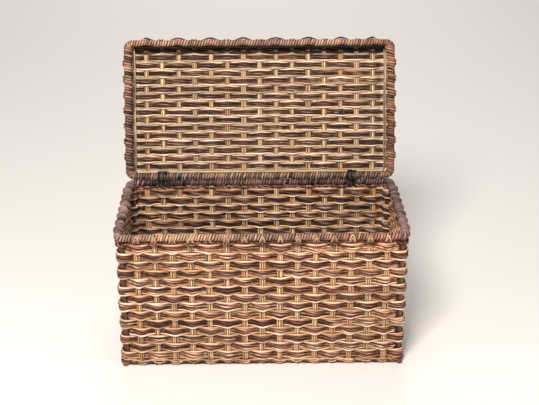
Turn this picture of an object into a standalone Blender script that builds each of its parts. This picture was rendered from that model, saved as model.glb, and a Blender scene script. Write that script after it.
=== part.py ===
"""A woven storage trunk with its hinged lid leaning open.

The trunk is a basket built on a cane frame: four corner posts, a rail round
the bottom, a pole round the mouth and walls woven round the posts. The mouth
pole is bound with cord. The lid is a shallow basket of the same make, tied to
the trunk's rear rim by two cord lashings, which are its hinges.

Metres, +Z up, front towards -Y. The origin is under the middle of the centre
runner, on the surface the trunk stands on.
"""

import math

import bmesh
import bpy

# Trunk, over its bound rim.
RIM_WIDTH = 0.650
RIM_DEPTH = 0.333
RIM_TOP = 0.324

GAP = 0.0003              # clearance between pieces that touch
ROLL_RADIUS = 0.008       # the bound rim, over its cord
POLE_RADIUS = 0.0055      # the rim pole under the cord
RIM_BEND = 0.012          # centre-line bend of the rim at a corner
BEND_STEPS = 3            # facets in half a corner bend
ROUND_SIDES = 12          # facets round a pole or a roll

# Woven walls.
WALL_INSET = 0.005        # rim's outer edge to the wall's outer face
WALL_THICKNESS = 0.011
WALL_ROWS = 14
ROW_GROOVE = 0.0009       # depth of the groove between two woven rows
POST_RADIUS = 0.006
POST_OFFSET = 0.0015      # post centre beyond the corner bend's centre

# Bottom.
BORDER_HEIGHT = 0.017
BORDER_PROUD = 0.0015     # plaited border beyond the wall's outer face
BORDER_ROUND = 0.003
RUNNER_WIDTH = 0.024
RUNNER_THICKNESS = 0.008
RUNNER_SPACING = 0.200
RAIL_RADIUS = 0.005
FLOOR_THICKNESS = 0.007

# Lid, measured from the centre of its rim roll, lid closed.
LID_THICKNESS = 0.010     # woven panel
LID_HEIGHT = 0.042        # rim roll centre to the panel's top
SKIRT_THICKNESS = 0.013
STRUT_RADIUS = 0.005
STRUT_OFFSET = 0.0055
EDGE_CANE_RADIUS = 0.003
EDGE_SIDES = 8
LID_OPEN_DEG = 107.5      # from closed to leaning back on the rear rim
RIM_SEAM = 0.0004         # between the two rims when the lid is shut

# Hinge lashings: centre and width of each along the rear rim.
LASHINGS = {"left": (-0.232, 0.026), "right": (0.221, 0.022)}
LASHING_THICKNESS = 0.0025
LASHING_TURN = 0.0044     # width of one turn of cord
LASHING_GROOVE = 0.0008
LASHING_ROOM = 0.0006     # room between a lashing and the weave it passes

QUARTER_TURNS = {"front": 0, "right": 1, "back": 2, "left": 3}
ROLL_Z = RIM_TOP - ROLL_RADIUS
HINGE_Y = RIM_DEPTH / 2 - ROLL_RADIUS
HINGE_Z = RIM_TOP + RIM_SEAM + ROLL_RADIUS


def clear_scene():
    for old in list(bpy.data.objects):
        bpy.data.objects.remove(old, do_unlink=True)


def material(name, colour, roughness):
    made = bpy.data.materials.new(name)
    made.use_nodes = True
    shader = made.node_tree.nodes["Principled BSDF"]
    shader.inputs["Base Color"].default_value = (*colour, 1.0)
    shader.inputs["Roughness"].default_value = roughness
    shader.inputs["Metallic"].default_value = 0.0
    made.diffuse_color = (*colour, 1.0)
    return made


def closed_mesh(name, points, faces):
    """A mesh whose faces are turned outwards and whose curves are smooth."""
    work = bmesh.new()
    corners = [work.verts.new(point) for point in points]
    for face in faces:
        work.faces.new([corners[i] for i in face])
    bmesh.ops.recalc_face_normals(work, faces=work.faces)
    mesh = bpy.data.meshes.new(name)
    work.to_mesh(mesh)
    work.free()
    mesh.shade_smooth()
    mesh.set_sharp_from_angle(angle=math.radians(35))
    return mesh


def bridge(start, other, count):
    """Quads between two rings of `count` points, given their first indices."""
    return [
        (start + i, start + (i + 1) % count, other + (i + 1) % count, other + i)
        for i in range(count)
    ]


def solid_of_rings(name, rings):
    """A solid skinned over rings of points, closed flat at both ends."""
    count = len(rings[0])
    points = [point for ring in rings for point in ring]
    faces = []
    for level in range(len(rings) - 1):
        faces += bridge(level * count, (level + 1) * count, count)
    last = (len(rings) - 1) * count
    faces.append(tuple(range(count)))
    faces.append(tuple(range(last, last + count)))
    return closed_mesh(name, points, faces)


def sleeve_of_rings(name, outer, inner):
    """A tube skinned over outer rings, with a bore skinned over inner rings."""
    count = len(outer[0])
    points = [point for ring in outer + inner for point in ring]
    bore = len(outer) * count
    faces = []
    for level in range(len(outer) - 1):
        faces += bridge(level * count, (level + 1) * count, count)
    for level in range(len(inner) - 1):
        faces += bridge(bore + level * count, bore + (level + 1) * count, count)
    faces += bridge(0, bore, count)
    faces += bridge((len(outer) - 1) * count, bore + (len(inner) - 1) * count, count)
    return closed_mesh(name, points, faces)


def cylinder_mesh(name, radius, length, axis="Z", sides=ROUND_SIDES):
    """A rod centred on the local origin, along Z or X."""
    rings = []
    for end in (-length / 2, length / 2):
        ring = []
        for i in range(sides):
            turn = math.tau * i / sides
            across, up = radius * math.cos(turn), radius * math.sin(turn)
            ring.append((across, up, end) if axis == "Z" else (end, across, up))
        rings.append(ring)
    return solid_of_rings(name, rings)


def add(name, mesh, look, location=(0, 0, 0), quarter_turns=0, parent=None):
    made = bpy.data.objects.new(name, mesh)
    made.location = location
    made.rotation_euler.z = quarter_turns * math.pi / 2
    if not mesh.materials:
        mesh.materials.append(look)
    made.parent = parent
    bpy.context.scene.collection.objects.link(made)
    return made


def soften(piece, width):
    """Rounds the sharp edges of a piece by a small bevel."""
    bevel = piece.modifiers.new("soft_edges", "BEVEL")
    bevel.width = width
    bevel.segments = 1
    bevel.limit_method = "ANGLE"
    bevel.angle_limit = math.radians(40)


def cutter(name, size, location, parent=None):
    """A hidden block that a Boolean takes away."""
    mesh = bpy.data.meshes.new(name)
    work = bmesh.new()
    bmesh.ops.create_cube(work, size=1.0)
    bmesh.ops.scale(work, vec=size, verts=work.verts)
    work.to_mesh(mesh)
    work.free()
    block = bpy.data.objects.new(name, mesh)
    block.location = location
    block.parent = parent
    block.hide_render = True
    block.display_type = "WIRE"
    bpy.context.scene.collection.objects.link(block)
    return block


def cut(piece, block):
    boolean = piece.modifiers.new("window", "BOOLEAN")
    boolean.operation = "DIFFERENCE"
    boolean.solver = "EXACT"
    boolean.object = block


def mitre(radius):
    """Angle round a corner bend, at `radius`, where a side stops at the 45 degree
    joint with its neighbour. Half the gap between them is left to each."""
    return math.pi / 4 - math.asin(0.6 * GAP / radius)


def round_the_side(bend, reach, length, radius, turn, end):
    """Point of a side's sweep: `turn` is the angle round the corner bend, and
    `end` is -1 for the left corner and 1 for the right one."""
    along = end * (length - bend + radius * math.sin(turn))
    out = reach - bend + radius * math.cos(turn)
    return along, -out


def rim_rings(length, reach, section_radius, sides=ROUND_SIDES):
    """Rings of a round section swept along one side of the rim, from the middle
    of one corner bend to the middle of the next. `length` and `reach` are the
    centre line's half length and its distance from the trunk's middle."""
    stations = [(-1, k) for k in range(BEND_STEPS, -1, -1)]
    stations += [(1, k) for k in range(BEND_STEPS + 1)]
    rings = []
    for end, k in stations:
        ring = []
        for i in range(sides):
            turn = math.tau * i / sides
            radius = RIM_BEND + section_radius * math.cos(turn)
            x, y = round_the_side(
                RIM_BEND, reach, length, radius, mitre(radius) * k / BEND_STEPS, end
            )
            ring.append((x, y, section_radius * math.sin(turn)))
        rings.append(ring)
    return rings


def side_outline(length, reach, bend, thickness, post, swell):
    """Plan of one woven side. Its outer face runs round half of each corner
    bend, and its inner face stops at a hollow that clears the corner post.
    `post` is (offset of the post from the bend's centre, clearance radius), and
    `swell` moves both faces outwards from the middle of the weave."""
    offset, clear = post
    outer = bend + swell
    right_outer = [
        round_the_side(bend, reach, length, outer, mitre(outer) * k / BEND_STEPS, 1)
        for k in range(BEND_STEPS + 1)
    ]
    face_turn = -math.acos((bend - offset - thickness - swell) / clear)
    right_inner = []
    for k in range(BEND_STEPS + 2):
        turn = mitre(clear) + (face_turn - mitre(clear)) * k / (BEND_STEPS + 1)
        x, y = round_the_side(bend, reach, length, clear, turn, 1)
        right_inner.append((x + offset, y - offset))
    right = right_outer + right_inner
    return [(-x, y) for x, y in reversed(right)] + right


def woven_side_mesh(name, length, reach, bend, thickness, post, levels):
    """A woven side, skinned over its plan at each (height, swell) of `levels`."""
    rings = []
    for height, swell in levels:
        outline = side_outline(length, reach, bend, thickness, post, swell)
        rings.append([(x, y, height) for x, y in outline])
    return solid_of_rings(name, rings)


def row_levels(bottom, top, rows):
    """Heights of `rows` woven rows, each bulging between two grooves."""
    pitch = (top - bottom) / rows
    levels = [(bottom, -ROW_GROOVE)]
    for row in range(rows):
        levels.append((bottom + (row + 0.5) * pitch, 0.0))
        levels.append((bottom + (row + 1) * pitch, -ROW_GROOVE))
    return levels


def add_rim(prefix, look_pole, look_wrap, up, parent=None, shift=0.0):
    """The rim's four poles and the four lengths of binding round them."""
    half_width = RIM_WIDTH / 2 - ROLL_RADIUS
    half_depth = RIM_DEPTH / 2 - ROLL_RADIUS
    bore = POLE_RADIUS + GAP
    meshes = {}
    for run, (length, reach) in {
        "long": (half_width, half_depth),
        "short": (half_depth, half_width),
    }.items():
        meshes[run] = (
            solid_of_rings(f"{prefix}pole_{run}", rim_rings(length, reach, POLE_RADIUS)),
            sleeve_of_rings(
                f"{prefix}wrap_{run}",
                rim_rings(length, reach, ROLL_RADIUS),
                rim_rings(length, reach, bore),
            ),
        )
    for side, turns in QUARTER_TURNS.items():
        pole, wrap = meshes["short" if turns % 2 else "long"]
        place = (0, shift, up)
        add(f"{prefix}rim_pole_{side}", pole, look_pole, place, turns, parent)
        add(f"{prefix}rim_wrap_{side}", wrap, look_wrap, place, turns, parent)


def add_posts(prefix, look, radius, offset, bend, half_width, half_depth, bottom, top,
              parent=None, shift=0.0):
    """One upright in each corner of a basket."""
    mesh = cylinder_mesh(f"{prefix}upright", radius, top - bottom)
    x = half_width - bend + offset
    y = half_depth - bend + offset
    middle = (top + bottom) / 2
    for depth_name, dy in (("front", -y), ("back", y)):
        for width_name, dx in (("left", -x), ("right", x)):
            name = f"{prefix}_{depth_name}_{width_name}"
            soften(add(name, mesh, look, (dx, dy + shift, middle), 0, parent), 0.0012)


def add_walls(look):
    """Four woven walls, whose rows run on round the corner posts."""
    half_width = RIM_WIDTH / 2 - WALL_INSET
    half_depth = RIM_DEPTH / 2 - WALL_INSET
    bend = RIM_BEND + ROLL_RADIUS - WALL_INSET
    post = (POST_OFFSET, POST_RADIUS + GAP)
    levels = row_levels(BORDER_HEIGHT + GAP, RIM_TOP - 2 * ROLL_RADIUS - GAP, WALL_ROWS)
    long_side = woven_side_mesh(
        "wall_long", half_width, half_depth, bend, WALL_THICKNESS, post, levels
    )
    short_side = woven_side_mesh(
        "wall_short", half_depth, half_width, bend, WALL_THICKNESS, post, levels
    )
    walls = {}
    for side, turns in QUARTER_TURNS.items():
        mesh = short_side if turns % 2 else long_side
        walls[side] = add(f"woven_wall_{side}", mesh, look, (0, 0, 0), turns)
    return walls


def add_border(look):
    """The plaited border that closes the weave at the bottom."""
    half_width = RIM_WIDTH / 2 - WALL_INSET + BORDER_PROUD
    half_depth = RIM_DEPTH / 2 - WALL_INSET + BORDER_PROUD
    bend = RIM_BEND + ROLL_RADIUS - WALL_INSET + BORDER_PROUD
    thickness = WALL_THICKNESS + BORDER_PROUD
    post = (POST_OFFSET, POST_RADIUS + GAP)
    levels = [
        (0.0, -BORDER_ROUND / 2),
        (BORDER_ROUND / 2, 0.0),
        (BORDER_HEIGHT - BORDER_ROUND / 2, 0.0),
        (BORDER_HEIGHT, -BORDER_ROUND / 2),
    ]
    for run, (length, reach) in {
        "long": (half_width, half_depth),
        "short": (half_depth, half_width),
    }.items():
        mesh = woven_side_mesh(
            f"border_{run}", length, reach, bend, thickness, post, levels
        )
        for side, turns in QUARTER_TURNS.items():
            if (turns % 2 == 1) == (run == "short"):
                add(f"base_border_{side}", mesh, look, (0, 0, 0), turns)


def add_base(look_cane, look_batten, look_mat):
    """Rails round the bottom on three flat runners, and the woven floor on them."""
    inside_x = RIM_WIDTH / 2 - WALL_INSET - WALL_THICKNESS
    inside_y = RIM_DEPTH / 2 - WALL_INSET - WALL_THICKNESS
    post_x = RIM_WIDTH / 2 - RIM_BEND - ROLL_RADIUS + POST_OFFSET
    post_y = RIM_DEPTH / 2 - RIM_BEND - ROLL_RADIUS + POST_OFFSET
    rail_z = RUNNER_THICKNESS + GAP + RAIL_RADIUS
    short_out = inside_x - GAP - RAIL_RADIUS
    long_out = inside_y - GAP - RAIL_RADIUS
    short_half = post_y - POST_RADIUS - GAP
    long_half = short_out - RAIL_RADIUS - GAP
    long_rail = cylinder_mesh("rail_long", RAIL_RADIUS, 2 * long_half, "X")
    short_rail = cylinder_mesh("rail_short", RAIL_RADIUS, 2 * short_half, "X")
    for side, turns in QUARTER_TURNS.items():
        mesh, out = (short_rail, short_out) if turns % 2 else (long_rail, long_out)
        angle = turns * math.pi / 2
        place = (out * math.sin(angle), -out * math.cos(angle), rail_z)
        soften(add(f"base_rail_{side}", mesh, look_cane, place, turns), 0.001)

    half = (RUNNER_WIDTH / 2, inside_y - GAP)
    outline = [(-half[0], -half[1]), (half[0], -half[1]), (half[0], half[1]), (-half[0], half[1])]
    runner = solid_of_rings(
        "runner", [[(x, y, z) for x, y in outline] for z in (0.0, RUNNER_THICKNESS)]
    )
    for name, step in (("left", -1), ("centre", 0), ("right", 1)):
        place = (step * RUNNER_SPACING, 0, 0)
        soften(add(f"floor_runner_{name}", runner, look_batten, place), 0.001)

    low = rail_z + RAIL_RADIUS + GAP
    x, y = inside_x - GAP, inside_y - GAP
    notch_x, notch_y = post_x - POST_RADIUS - GAP, post_y - POST_RADIUS - GAP
    right_back = [(x, notch_y), (notch_x, notch_y), (notch_x, y)]
    back = right_back + [(-px, py) for px, py in reversed(right_back)]
    outline = back + [(-px, -py) for px, py in back]
    floor = solid_of_rings(
        "floor", [[(px, py, z) for px, py in outline] for z in (low, low + FLOOR_THICKNESS)]
    )
    soften(add("woven_floor", floor, look_mat), 0.0015)


def add_lid(looks):
    """The lid, built shut and then turned open about the hinge line."""
    lid = bpy.data.objects.new("lid", None)
    lid.location = (0, HINGE_Y, HINGE_Z)
    lid.rotation_euler.x = -math.radians(LID_OPEN_DEG)
    bpy.context.scene.collection.objects.link(lid)
    shift = -HINGE_Y
    half_width, half_depth = RIM_WIDTH / 2, RIM_DEPTH / 2
    bend = RIM_BEND + ROLL_RADIUS

    add_rim("lid_", looks["pole"], looks["lid_cord"], 0.0, lid, shift)

    bottom = ROLL_RADIUS + GAP
    panel_bottom = LID_HEIGHT - LID_THICKNESS
    top = panel_bottom - GAP
    add_posts("lid_corner_strut", looks["pole"], STRUT_RADIUS, STRUT_OFFSET, bend,
              half_width, half_depth, bottom, top, lid, shift)

    post = (STRUT_OFFSET, STRUT_RADIUS + GAP)
    levels = row_levels(bottom, top, 1)
    long_side = woven_side_mesh(
        "skirt_long", half_width, half_depth, bend, SKIRT_THICKNESS, post, levels
    )
    short_side = woven_side_mesh(
        "skirt_short", half_depth, half_width, bend, SKIRT_THICKNESS, post, levels
    )
    skirts = {}
    for side, turns in QUARTER_TURNS.items():
        mesh = short_side if turns % 2 else long_side
        skirts[side] = add(
            f"lid_skirt_{side}", mesh, looks["weave"], (0, shift, 0), turns, lid
        )

    cane_z = panel_bottom - GAP - EDGE_CANE_RADIUS
    inset = SKIRT_THICKNESS + GAP + EDGE_CANE_RADIUS
    strut_x = half_width - bend + STRUT_OFFSET - STRUT_RADIUS - GAP
    strut_y = half_depth - bend + STRUT_OFFSET - STRUT_RADIUS - GAP
    long_cane = cylinder_mesh("edge_long", EDGE_CANE_RADIUS, 2 * strut_x, "X", EDGE_SIDES)
    short_cane = cylinder_mesh("edge_short", EDGE_CANE_RADIUS, 2 * strut_y, "X", EDGE_SIDES)
    for side, turns in QUARTER_TURNS.items():
        if turns % 2:
            mesh, out = short_cane, half_width - inset
        else:
            mesh, out = long_cane, half_depth - inset
        angle = turns * math.pi / 2
        place = (out * math.sin(angle), -out * math.cos(angle) + shift, cane_z)
        add(f"lid_edge_cane_{side}", mesh, looks["pole"], place, turns, lid)

    panel_levels = [
        (panel_bottom, -0.0005),
        (panel_bottom + 0.3 * LID_THICKNESS, 0.0),
        (panel_bottom + 0.7 * LID_THICKNESS, -0.0008),
        (LID_HEIGHT - 0.0008, -0.0035),
        (LID_HEIGHT, -0.006),
    ]
    rings = []
    for height, swell in panel_levels:
        ring = []
        for side in QUARTER_TURNS:
            turns = QUARTER_TURNS[side]
            length, reach = (half_depth, half_width) if turns % 2 else (half_width, half_depth)
            for k in range(BEND_STEPS * 2 + 1):
                angle = math.pi / 2 * k / (BEND_STEPS * 2)
                x, y = round_the_side(bend, reach, length, bend + swell, angle, 1)
                c, s = math.cos(turns * math.pi / 2), math.sin(turns * math.pi / 2)
                ring.append((x * c - y * s, x * s + y * c, height))
        rings.append(ring)
    panel = solid_of_rings("panel", rings)
    add("lid_panel", panel, looks["weave"], (0, shift, 0), 0, lid)
    return lid, skirts


def lashing_mesh(name, width):
    """Turns of cord wound side by side round the two rear rims as one oval band.
    The band's outline is two half circles, one about each rim roll."""
    inside = ROLL_RADIUS + GAP
    drop = 2 * ROLL_RADIUS + RIM_SEAM
    turns = round(width / LASHING_TURN)
    arc_steps = 8

    def oval(x, radius):
        upper = [math.pi * k / arc_steps for k in range(arc_steps + 1)]
        ring = [(x, radius * math.cos(t), radius * math.sin(t)) for t in upper]
        ring += [(x, -radius * math.cos(t), -drop - radius * math.sin(t)) for t in upper]
        return ring

    outer = []
    for k in range(2 * turns + 1):
        x = width * (k / (2 * turns) - 0.5)
        groove = 0.0 if k % 2 else LASHING_GROOVE
        outer.append(oval(x, inside + LASHING_THICKNESS - groove))
    inner = [oval(-width / 2, inside), oval(width / 2, inside)]
    return sleeve_of_rings(name, outer, inner)


def add_hinges(look, wall, skirt, lid):
    """Two lashings tied round both rear rims, each passing the weave at a window."""
    reach = ROLL_RADIUS + GAP + LASHING_THICKNESS + LASHING_ROOM
    # In the skirt the window is deeper, so that the lid can lean back past the band.
    lean = math.radians(LID_OPEN_DEG - 90)
    skirt_window = (reach + ROLL_RADIUS * math.sin(lean)) / math.cos(lean) + LASHING_ROOM
    for side, (x, width) in LASHINGS.items():
        band = lashing_mesh(f"lashing_{side}", width)
        add(f"hinge_lashing_{side}", band, look, (x, HINGE_Y, HINGE_Z))
        open_width = width + 2 * LASHING_ROOM
        size = (open_width, 4 * ROLL_RADIUS, 2 * reach)
        cut(wall, cutter(f"wall_window_{side}", size, (x, HINGE_Y, ROLL_Z)))
        size = (open_width, 4 * ROLL_RADIUS, 2 * skirt_window)
        cut(skirt, cutter(f"skirt_window_{side}", size, (x, 0, 0), lid))


def build():
    clear_scene()
    looks = {
        "pole": material("natural_cane", (0.42, 0.27, 0.13), 0.55),
        "batten": material("plain_wood", (0.45, 0.32, 0.19), 0.6),
        "weave": material("woven_cane_and_fibre", (0.25, 0.165, 0.10), 0.75),
        "border": material("plaited_border", (0.20, 0.125, 0.07), 0.75),
        "cord": material("rim_cord", (0.22, 0.14, 0.09), 0.7),
        "lid_cord": material("lid_rim_cord", (0.23, 0.115, 0.07), 0.7),
        "lashing": material("dark_lashing", (0.03, 0.026, 0.024), 0.7),
        "mat": material("woven_mat", (0.24, 0.16, 0.09), 0.75),
    }
    add_posts("corner_post", looks["pole"], POST_RADIUS, POST_OFFSET,
              RIM_BEND + ROLL_RADIUS - WALL_INSET, RIM_WIDTH / 2 - WALL_INSET,
              RIM_DEPTH / 2 - WALL_INSET, 0.0, RIM_TOP - 2 * ROLL_RADIUS - GAP)
    walls = add_walls(looks["weave"])
    add_border(looks["border"])
    add_base(looks["pole"], looks["batten"], looks["mat"])
    add_rim("", looks["pole"], looks["cord"], ROLL_Z)
    lid, skirts = add_lid(looks)
    add_hinges(looks["lashing"], walls["back"], skirts["back"], lid)


build()
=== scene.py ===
import math
from collections import namedtuple

import bpy
import numpy as np
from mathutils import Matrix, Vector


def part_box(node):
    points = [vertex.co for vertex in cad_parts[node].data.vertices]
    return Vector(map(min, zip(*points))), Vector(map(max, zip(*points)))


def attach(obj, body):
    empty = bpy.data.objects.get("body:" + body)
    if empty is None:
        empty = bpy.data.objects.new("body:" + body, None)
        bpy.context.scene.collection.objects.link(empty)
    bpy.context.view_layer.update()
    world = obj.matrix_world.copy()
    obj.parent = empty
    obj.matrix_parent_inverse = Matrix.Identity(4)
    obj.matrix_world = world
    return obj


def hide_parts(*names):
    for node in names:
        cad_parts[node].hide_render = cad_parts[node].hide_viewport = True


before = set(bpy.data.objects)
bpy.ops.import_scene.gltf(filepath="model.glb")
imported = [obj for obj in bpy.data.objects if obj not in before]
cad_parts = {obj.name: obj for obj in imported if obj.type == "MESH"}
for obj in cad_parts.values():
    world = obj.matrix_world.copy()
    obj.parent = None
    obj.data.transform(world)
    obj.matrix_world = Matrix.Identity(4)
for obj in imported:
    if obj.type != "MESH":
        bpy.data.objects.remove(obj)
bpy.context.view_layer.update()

# The surface the trunk stands on, the light and the view.
# A pale sweep of painted board. It carries no part of the trunk. The key light
# is one large soft panel above and in front, with a weaker one on each side.
scene = bpy.context.scene
scene.view_settings.view_transform = "Standard"


def paint(code):
    """Linear colour of an sRGB hex code such as "C7A477"."""
    srgb = np.array([int(code[i:i + 2], 16) for i in (0, 2, 4)]) / 255
    return np.where(srgb <= 0.04045, srgb / 12.92, ((srgb + 0.055) / 1.055) ** 2.4)


def node(tree, kind, settings=None, links=None):
    """Adds a node. Settings name its properties or its inputs, and links join an
    input to another node's output, given as (node, output)."""
    made = tree.nodes.new(kind)
    for key, value in (settings or {}).items():
        if isinstance(key, str) and hasattr(made, key):
            setattr(made, key, value)
        else:
            made.inputs[key].default_value = value
    for key, (source, output) in (links or {}).items():
        tree.links.new(source.outputs[output], made.inputs[key])
    return made


def finish_of(name, roughness):
    """A material of this roughness, its node tree and its Principled shader."""
    material = bpy.data.materials.new(name)
    material.use_nodes = True
    shader = material.node_tree.nodes["Principled BSDF"]
    shader.inputs["Roughness"].default_value = roughness
    return material, material.node_tree, shader


# Painted board: an even matte white with a faint roller stipple.
board, tree, shader = finish_of("painted_board", 0.9)
shader.inputs["Base Color"].default_value = (*paint("DEDAD6"), 1)
where = node(tree, "ShaderNodeTexCoord")
stipple = node(tree, "ShaderNodeTexNoise", {"Scale": 300.0}, {"Vector": (where, "Object")})
relief = node(tree, "ShaderNodeBump", {"Strength": 0.02}, {"Height": (stipple, "Fac")})
tree.links.new(relief.outputs["Normal"], shader.inputs["Normal"])

REACH = 7.0               # of the board, each way
floor_mesh = bpy.data.meshes.new("studio_floor")
floor_mesh.from_pydata([(-REACH, -REACH, 0), (REACH, -REACH, 0), (REACH, REACH, 0),
                        (-REACH, REACH, 0)], [], [(0, 1, 2, 3)])
floor_mesh.materials.append(board)
studio_floor = bpy.data.objects.new("studio_floor", floor_mesh)
scene.collection.objects.link(studio_floor)

world = bpy.data.worlds.new("studio_air")
world.use_nodes = True
world.node_tree.nodes["Background"].inputs["Color"].default_value = (*paint("F4F2F2"), 1)
world.node_tree.nodes["Background"].inputs["Strength"].default_value = 0.26
scene.world = world

AIM = np.array([0.0, 0.05, 0.30])         # near the middle of the open trunk
WARM_WHITE = (1.0, 0.957, 0.91)
# Name, azimuth and elevation in degrees, distance and width in metres, watts.
PANELS = [
    ("key", -14, 46, 3.0, 0.9, 122),
    ("left_fill", -75, 30, 3.2, 1.8, 16),
    ("right_fill", 60, 35, 3.2, 1.8, 16),
    ("back_fill", 170, 50, 3.4, 1.8, 20),
    ("back_wash", 180, 27, 6.0, 3.0, 130),
]
for name, azimuth, elevation, distance, width, watts in PANELS:
    lamp = bpy.data.lights.new(name, "AREA")
    lamp.size = width
    lamp.energy = watts
    lamp.color = WARM_WHITE
    panel = bpy.data.objects.new(name, lamp)
    a, e = math.radians(azimuth), math.radians(elevation)
    toward = np.array([math.sin(a) * math.cos(e), -math.cos(a) * math.cos(e), math.sin(e)])
    panel.location = AIM + distance * toward
    panel.rotation_euler = (math.pi / 2 - e, 0, a)
    scene.collection.objects.link(panel)

view = bpy.data.cameras.new("view")
view.sensor_width = 36.0
view.lens = 78.1
camera = bpy.data.objects.new("view", view)
camera.location = (-0.0301, -2.4535, 1.378)
camera.rotation_euler = (math.radians(90 - 23.13), 0, math.radians(-1.14))
scene.collection.objects.link(camera)
scene.camera = camera


# Corner posts and base rails.
# Whole rattan poles with the bark on, cut to length. The posts stand in the four
# corners, and the rails lie round the bottom on three flat wooden runners.
def bend_through(points, steps, looped=True):
    """Smooth lines through set points [line, point, xyz]. Between two points the
    line is a cubic whose slope at each point is the mean of the slopes to its two
    neighbours, each weighted by the other's distance."""
    if not looped:
        first = 2 * points[:, :1] - points[:, 1:2]
        last = 2 * points[:, -1:] - points[:, -2:-1]
        points = np.concatenate([first, points, last], axis=1)
    ahead = np.roll(points, -1, 1) - points
    gap = np.maximum(np.linalg.norm(ahead, axis=2, keepdims=True), 1e-6)
    behind, gap_behind = np.roll(ahead, 1, 1), np.roll(gap, 1, 1)
    slope = (ahead / gap * gap_behind + behind / gap_behind * gap) / (gap + gap_behind)
    t = (np.arange(steps) / steps)[None, None, :, None]
    start, end = points[:, :, None], np.roll(points, -1, 1)[:, :, None]
    pull, push = (slope * gap)[:, :, None], (np.roll(slope, -1, 1) * gap)[:, :, None]
    line = ((2 * t**3 - 3 * t**2 + 1) * start + (t**3 - 2 * t**2 + t) * pull
            + (3 * t**2 - 2 * t**3) * end + (t**3 - t**2) * push)
    if not looped:
        tail = points[:, -2:-1]
        line = line[:, 1:-2].reshape(len(points), -1, 3)
        return np.concatenate([line, tail], axis=1)
    return line.reshape(len(points), -1, 3)


def unit(vectors):
    return vectors / np.maximum(np.linalg.norm(vectors, axis=-1, keepdims=True), 1e-9)


def strands(name, route, facing, deep, wide, tone, material, sides=6, looped=True, lay=0.0):
    """One mesh of many strands. `route` [strand, station, xyz] is their centre
    lines. A section is an ellipse: the point at angle a is the centre plus
    deep cos(a) along `facing` plus wide sin(a) across it and across the line.
    The ellipse turns once in every `lay` metres, as a twisted cord's does, or not
    at all for 0. `tone` [strand, station, rgb] is kept as the attribute "tone",
    and the UV is the length along a strand in metres and the turn round it."""
    count, stations = route.shape[:2]
    if looped:
        tangent = unit(np.roll(route, -1, 1) - np.roll(route, 1, 1))
    else:
        tangent = unit(np.gradient(route, axis=1))
    facing = np.broadcast_to(facing, route.shape)
    out = unit(facing - (facing * tangent).sum(-1, keepdims=True) * tangent)
    across = np.cross(tangent, out)
    step = np.linalg.norm(np.roll(route, -1, 1) - route, axis=2)
    length = np.concatenate([np.zeros((count, 1)), np.cumsum(step, 1)], 1)
    if lay:
        whole = length[:, -1:] if looped else length[:, -2:-1]
        phase = 2 * np.pi * np.round(whole / lay) * length[:, :-1] / whole
        phase = (phase + np.arange(count)[:, None])[..., None]
        out, across = (np.cos(phase) * out + np.sin(phase) * across,
                       np.cos(phase) * across - np.sin(phase) * out)
    deep = np.broadcast_to(np.asarray(deep, float), (count, stations))[..., None, None]
    wide = np.broadcast_to(np.asarray(wide, float), (count, stations))[..., None, None]
    turn = (2 * np.pi * np.arange(sides) / sides)[:, None]
    verts = (route[:, :, None] + deep * np.cos(turn) * out[:, :, None]
             + wide * np.sin(turn) * across[:, :, None])

    spans = stations if looped else stations - 1
    s, n, m = np.meshgrid(np.arange(count), np.arange(spans), np.arange(sides), indexing="ij")
    n_next, m_next = (n + 1) % stations, (m + 1) % sides
    at = lambda i, j: (s * stations + i) * sides + j
    quads = np.stack([at(n, m), at(n, m_next), at(n_next, m_next), at(n_next, m)], -1)
    u0, u1 = length[s, n], length[s, n + 1]
    v0, v1 = m / sides, (m + 1) / sides
    uv = np.stack([u0, v0, u0, v1, u1, v1, u1, v0], -1).reshape(-1, 2)
    loops, sizes = quads.reshape(-1), np.full(quads[..., 0].size, 4)
    if not looped:
        first = (np.arange(count) * stations * sides)[:, None] + np.arange(sides)[::-1]
        last = ((np.arange(count) + 1) * stations * sides - sides)[:, None] + np.arange(sides)
        ends = np.concatenate([first, last])
        loops = np.concatenate([loops, ends.reshape(-1)])
        uv = np.concatenate([uv, np.zeros((ends.size, 2))])
        sizes = np.concatenate([sizes, np.full(len(ends), sides)])

    mesh = bpy.data.meshes.new(name)
    mesh.vertices.add(verts.size // 3)
    mesh.vertices.foreach_set("co", verts.astype(np.float32).reshape(-1))
    mesh.loops.add(len(loops))
    mesh.loops.foreach_set("vertex_index", loops.astype(np.int32))
    mesh.polygons.add(len(sizes))
    mesh.polygons.foreach_set("loop_start", (np.cumsum(sizes) - sizes).astype(np.int32))
    mesh.polygons.foreach_set("use_smooth", sizes == 4)
    mesh.uv_layers.new(name="along").data.foreach_set("uv", uv.astype(np.float32).reshape(-1))
    colour = np.ones((count, stations, sides, 4), np.float32)
    colour[..., :3] = np.broadcast_to(tone, (count, stations, 3))[:, :, None]
    mesh.color_attributes.new("tone", "FLOAT_COLOR", "POINT")
    mesh.color_attributes["tone"].data.foreach_set("color", colour.reshape(-1))
    mesh.update(calc_edges=True)
    mesh.validate()
    mesh.materials.append(material)
    piece = bpy.data.objects.new(name, mesh)
    scene.collection.objects.link(piece)
    return piece


def wander(rng, count, stations, knots):
    """Smooth noise along each strand, from -1 to 1, through `knots` random values
    and back to the first, so that a closed strand has no jump."""
    at = np.arange(stations) * knots / stations
    low = at.astype(int)
    rise = at - low
    rise = rise * rise * (3 - 2 * rise)
    values = rng.uniform(-1, 1, (count, knots))
    return values[:, low] * (1 - rise) + values[:, (low + 1) % knots] * rise


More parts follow.
